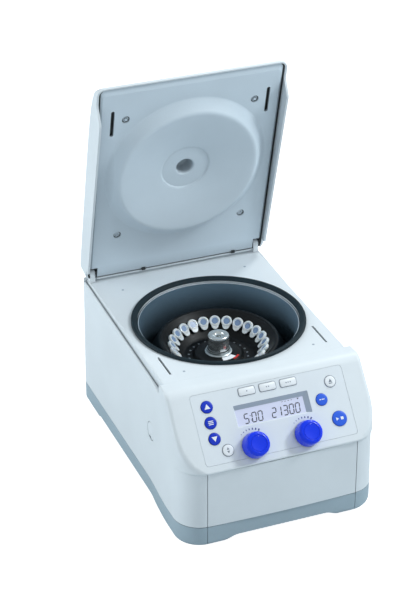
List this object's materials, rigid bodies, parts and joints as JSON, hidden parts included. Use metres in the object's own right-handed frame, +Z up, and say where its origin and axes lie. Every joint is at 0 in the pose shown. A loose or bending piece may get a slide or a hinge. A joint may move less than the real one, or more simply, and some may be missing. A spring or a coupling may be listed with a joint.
{
  "type": "microcentrifuge",
  "caption": "Bench-top microcentrifuge with hinged lid, black fixed-angle rotor in a round chamber, and a sloped console with two knobs, keys and a display.",
  "frame": {"origin": "the middle of the footprint, on the bench under the feet", "axes": "+Z up, -Y is the console side that faces the operator, +X is at the operator's right hand"},
  "size_m": [0.251, 0.3897, 0.4816],
  "materials": {
    "white": "satin moulded",
    "liner": "fine satin",
    "grey": "satin moulded",
    "blue": "semi-gloss",
    "pale": "satin",
    "seal": "matt",
    "bowl": "satin",
    "rotor": "black anodised",
    "bright": "polished",
    "steel": "plain",
    "motor": "painted dark grey",
    "board": "circuit board",
    "dark": "black moulded",
    "lens": "clear",
    "display": "display face",
    "rubber": "matt"
  },
  "bodies": {
    "root": {"upper_housing": "white", "front_cover": "white", "side_release_plug": "white", "base_tray": "grey", "base_front_panel": "grey", "foot_front_left": "rubber", "foot_front_right": "rubber", "foot_back_left": "rubber", "foot_back_right": "rubber", "rear_panel": "grey", "mains_inlet": "dark", "mains_switch_frame": "dark", "power_supply": "steel", "keypad_panel": "white", "display_lens": "lens", "display_module": "display", "control_board": "board", "encoder_left": "steel", "encoder_right": "steel", "chamber_bowl": "bowl", "bowl_gasket": "seal", "motor_housing": "motor", "motor_plate": "steel", "damper_front": "rubber", "damper_left": "rubber", "damper_right": "rubber", "latch_motor": "dark", "hinge_bracket_left": "white", "hinge_bracket_right": "white"},
    "lid": {"lid_shell": "white", "lid_liner": "liner", "lid_screw_front_left": "bright", "lid_screw_front_right": "bright", "lid_screw_back_left": "bright", "lid_screw_back_right": "bright", "lid_strike_left": "steel", "lid_strike_right": "steel", "hinge_shaft": "steel", "lid_spring": "steel"},
    "rotor": {"rotor_body": "rotor", "rotor_nut": "bright", "motor_shaft": "steel"},
    "latch": {"latch_shaft": "steel", "latch_hook_left": "steel", "latch_hook_right": "steel"},
    "rocker": {"mains_rocker": "dark"},
    "knob_left": {"knob_left": "blue"},
    "knob_right": {"knob_right": "blue"},
    "button_up": {"button_up": "blue"},
    "button_menu": {"button_menu": "blue"},
    "button_down": {"button_down": "blue"},
    "button_unit": {"button_unit": "pale"},
    "button_short": {"button_short": "blue"},
    "button_open": {"button_open": "pale"},
    "button_start": {"button_start": "blue"},
    "key_left": {"key_left": "pale"},
    "key_middle": {"key_middle": "pale"},
    "key_right": {"key_right": "pale"}
  },
  "joints": [
    {"name": "lid_hinge", "type": "hinge", "parent": "root", "child": "lid", "pos_m": [0, 0.1705, 0.2008], "axis": [1, 0, 0], "range_deg": [0, 76.4]},
    {"name": "rotor_spin", "type": "hinge", "parent": "root", "child": "rotor", "pos_m": [0, 0.018, 0.14], "axis": [0, 0, 1], "continuous": true},
    {"name": "latch_turn", "type": "hinge", "parent": "root", "child": "latch", "pos_m": [0, -0.1, 0.165], "axis": [1, 0, 0], "range_deg": [0, 18]},
    {"name": "rocker_tilt", "type": "hinge", "parent": "root", "child": "rocker", "pos_m": [0.014, 0.181, 0.075], "axis": [1, 0, 0], "range_deg": [-14, 0]},
    {"name": "knob_left_turn", "type": "hinge", "parent": "root", "child": "knob_left", "pos_m": [-0.0332, -0.17328, 0.13063], "axis": [0, -0.766, 0.6428], "continuous": true},
    {"name": "knob_right_turn", "type": "hinge", "parent": "root", "child": "knob_right", "pos_m": [0.0332, -0.17328, 0.13063], "axis": [0, -0.766, 0.6428], "continuous": true},
    {"name": "button_up_press", "type": "slide", "parent": "root", "child": "button_up", "axis": [0, 0.766, -0.6428], "range_m": [0, 0.0008]},
    {"name": "button_menu_press", "type": "slide", "parent": "root", "child": "button_menu", "axis": [0, 0.766, -0.6428], "range_m": [0, 0.0008]},
    {"name": "button_down_press", "type": "slide", "parent": "root", "child": "button_down", "axis": [0, 0.766, -0.6428], "range_m": [0, 0.0008]},
    {"name": "button_unit_press", "type": "slide", "parent": "root", "child": "button_unit", "axis": [0, 0.766, -0.6428], "range_m": [0, 0.0008]},
    {"name": "button_short_press", "type": "slide", "parent": "root", "child": "button_short", "axis": [0, 0.766, -0.6428], "range_m": [0, 0.0008]},
    {"name": "button_open_press", "type": "slide", "parent": "root", "child": "button_open", "axis": [0, 0.766, -0.6428], "range_m": [0, 0.0008]},
    {"name": "button_start_press", "type": "slide", "parent": "root", "child": "button_start", "axis": [0, 0.766, -0.6428], "range_m": [0, 0.0008]},
    {"name": "key_left_press", "type": "slide", "parent": "root", "child": "key_left", "axis": [0, 0.766, -0.6428], "range_m": [0, 0.0008]},
    {"name": "key_middle_press", "type": "slide", "parent": "root", "child": "key_middle", "axis": [0, 0.766, -0.6428], "range_m": [0, 0.0008]},
    {"name": "key_right_press", "type": "slide", "parent": "root", "child": "key_right", "axis": [0, 0.766, -0.6428], "range_m": [0, 0.0008]}
  ]
}
